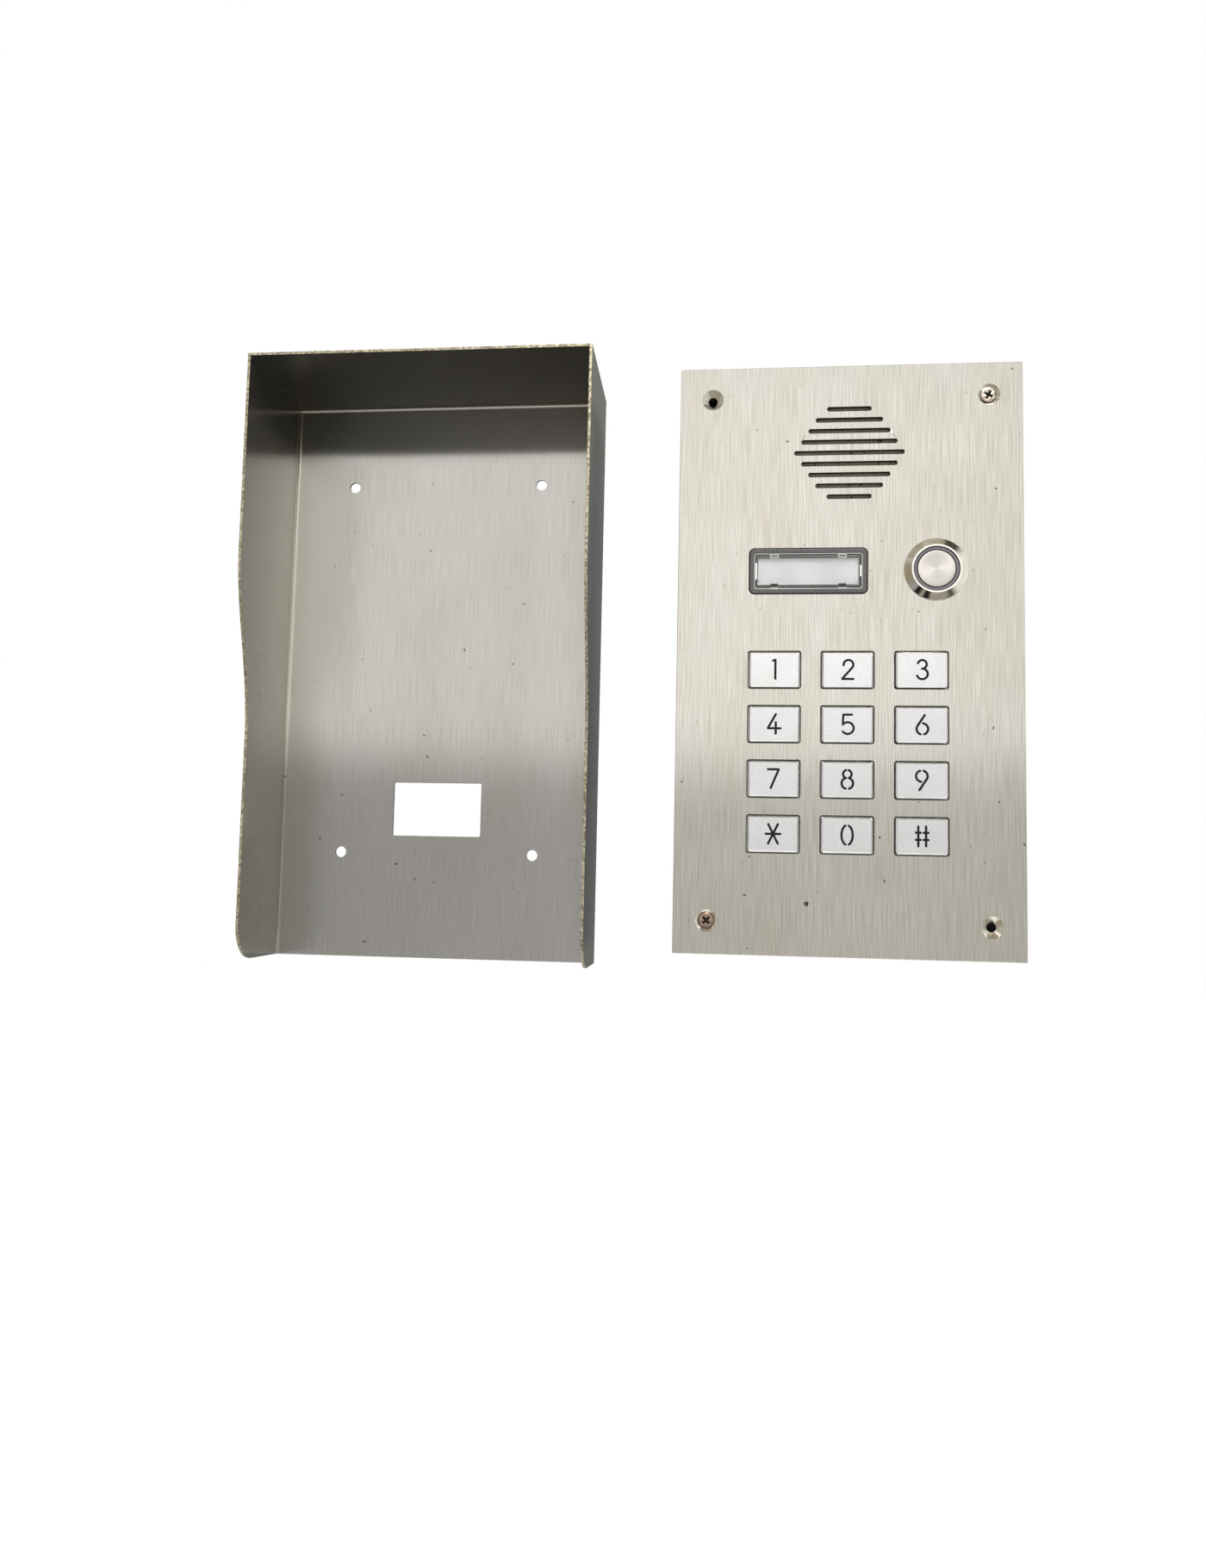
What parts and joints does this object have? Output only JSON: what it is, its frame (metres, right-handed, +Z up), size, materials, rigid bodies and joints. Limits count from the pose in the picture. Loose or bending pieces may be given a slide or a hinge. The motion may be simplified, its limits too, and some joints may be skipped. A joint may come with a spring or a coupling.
{
  "type": "door intercom panel",
  "caption": "Surface-mounted stainless door intercom panel with speaker, name window, call button and keypad, shown beside the folded rain hood that goes round it",
  "frame": {"origin": "centre of the panel unit's back, on the wall plane y = 0", "axes": "+Z up, +Y into the wall, faces look towards -Y; the panel unit is at the origin and the empty hood is beside it at -X"},
  "size_m": [0.2754, 0.0505, 0.218],
  "materials": {
    "brushed_steel": "satin stainless sheet with fine vertical brushing, warm light grey",
    "key_metal": "satin silver-white metal with bevelled edges and black-filled engraved characters",
    "button_steel": "circular spun satin stainless",
    "polished_steel": "polished stainless bezel",
    "screw_steel": "plain stainless screw with slight discolouring",
    "plain_steel": "zinc-plated steel",
    "box_paint": "die-cast aluminium with light grey textured powder coat",
    "brass": "turned brass",
    "rubber": "black EPDM",
    "silicone": "translucent grey silicone",
    "black_plastic": "black moulded plastic",
    "clear_plastic": "smoky clear polycarbonate",
    "white_card": "blank white card",
    "ring_plastic": "unlit grey diffusing plastic",
    "dust_sheet": "light grey acoustic cloth",
    "cone_paper": "dark paper diaphragm",
    "board_green": "green circuit board",
    "terminal_green": "green terminal housing"
  },
  "bodies": {
    "panel_unit": {"front_panel": "brushed_steel", "back_box": "box_paint", "panel_gasket": "rubber", "cable_grommet": "rubber", "speaker_dust_sheet": "dust_sheet", "speaker_seal": "rubber", "speaker_basket": "plain_steel", "speaker_cone": "cone_paper", "speaker_magnet": "plain_steel", "speaker_clamp": "plain_steel", "name_window": "clear_plastic", "name_card": "white_card", "card_holder": "black_plastic", "call_button_housing": "polished_steel", "call_button_ring": "ring_plastic", "call_button_nut": "plain_steel", "call_button_switch": "black_plastic", "key_guide": "black_plastic", "key_mat": "silicone", "key_board": "board_green", "key_connector": "black_plastic", "mic_boot": "rubber", "mic_capsule": "plain_steel", "main_board": "board_green", "terminal_block": "terminal_green", "network_jack": "plain_steel", "door_relay": "black_plastic", "processor_chip": "black_plastic", "capacitor": "black_plastic", "insert_top_left": "brass", "insert_top_right": "brass", "insert_bottom_left": "brass", "insert_bottom_right": "brass", "screw_top_right": "screw_steel", "screw_bottom_left": "screw_steel", "keypad_nut_1": "plain_steel", "standoff_1": "brass", "keypad_nut_2": "plain_steel", "standoff_2": "brass", "keypad_nut_3": "plain_steel", "standoff_3": "brass", "keypad_nut_4": "plain_steel", "standoff_4": "brass", "speaker_nut_1": "plain_steel", "speaker_nut_2": "plain_steel"},
    "hood": {"rain_hood": "brushed_steel"},
    "call_button": {"call_button_cap": "button_steel"},
    "key_1_body": {"key_1": "key_metal"},
    "key_2_body": {"key_2": "key_metal"},
    "key_3_body": {"key_3": "key_metal"},
    "key_4_body": {"key_4": "key_metal"},
    "key_5_body": {"key_5": "key_metal"},
    "key_6_body": {"key_6": "key_metal"},
    "key_7_body": {"key_7": "key_metal"},
    "key_8_body": {"key_8": "key_metal"},
    "key_9_body": {"key_9": "key_metal"},
    "key_star_body": {"key_star": "key_metal"},
    "key_0_body": {"key_0": "key_metal"},
    "key_hash_body": {"key_hash": "key_metal"}
  },
  "joints": [
    {"name": "hood_lift", "type": "slide", "parent": "panel_unit", "child": "hood", "axis": [0, 0, 1], "range_m": [0, 0.24]},
    {"name": "call_button_press", "type": "slide", "parent": "panel_unit", "child": "call_button", "axis": [0, 1, 0], "range_m": [0, 0.0015], "stiffness_N_per_m": 300, "springref_m": -0.001},
    {"name": "key_1_press", "type": "slide", "parent": "panel_unit", "child": "key_1_body", "axis": [0, 1, 0], "range_m": [0, 0.001], "stiffness_N_per_m": 300, "springref_m": -0.001},
    {"name": "key_2_press", "type": "slide", "parent": "panel_unit", "child": "key_2_body", "axis": [0, 1, 0], "range_m": [0, 0.001], "stiffness_N_per_m": 300, "springref_m": -0.001},
    {"name": "key_3_press", "type": "slide", "parent": "panel_unit", "child": "key_3_body", "axis": [0, 1, 0], "range_m": [0, 0.001], "stiffness_N_per_m": 300, "springref_m": -0.001},
    {"name": "key_4_press", "type": "slide", "parent": "panel_unit", "child": "key_4_body", "axis": [0, 1, 0], "range_m": [0, 0.001], "stiffness_N_per_m": 300, "springref_m": -0.001},
    {"name": "key_5_press", "type": "slide", "parent": "panel_unit", "child": "key_5_body", "axis": [0, 1, 0], "range_m": [0, 0.001], "stiffness_N_per_m": 300, "springref_m": -0.001},
    {"name": "key_6_press", "type": "slide", "parent": "panel_unit", "child": "key_6_body", "axis": [0, 1, 0], "range_m": [0, 0.001], "stiffness_N_per_m": 300, "springref_m": -0.001},
    {"name": "key_7_press", "type": "slide", "parent": "panel_unit", "child": "key_7_body", "axis": [0, 1, 0], "range_m": [0, 0.001], "stiffness_N_per_m": 300, "springref_m": -0.001},
    {"name": "key_8_press", "type": "slide", "parent": "panel_unit", "child": "key_8_body", "axis": [0, 1, 0], "range_m": [0, 0.001], "stiffness_N_per_m": 300, "springref_m": -0.001},
    {"name": "key_9_press", "type": "slide", "parent": "panel_unit", "child": "key_9_body", "axis": [0, 1, 0], "range_m": [0, 0.001], "stiffness_N_per_m": 300, "springref_m": -0.001},
    {"name": "key_star_press", "type": "slide", "parent": "panel_unit", "child": "key_star_body", "axis": [0, 1, 0], "range_m": [0, 0.001], "stiffness_N_per_m": 300, "springref_m": -0.001},
    {"name": "key_0_press", "type": "slide", "parent": "panel_unit", "child": "key_0_body", "axis": [0, 1, 0], "range_m": [0, 0.001], "stiffness_N_per_m": 300, "springref_m": -0.001},
    {"name": "key_hash_press", "type": "slide", "parent": "panel_unit", "child": "key_hash_body", "axis": [0, 1, 0], "range_m": [0, 0.001], "stiffness_N_per_m": 300, "springref_m": -0.001}
  ]
}
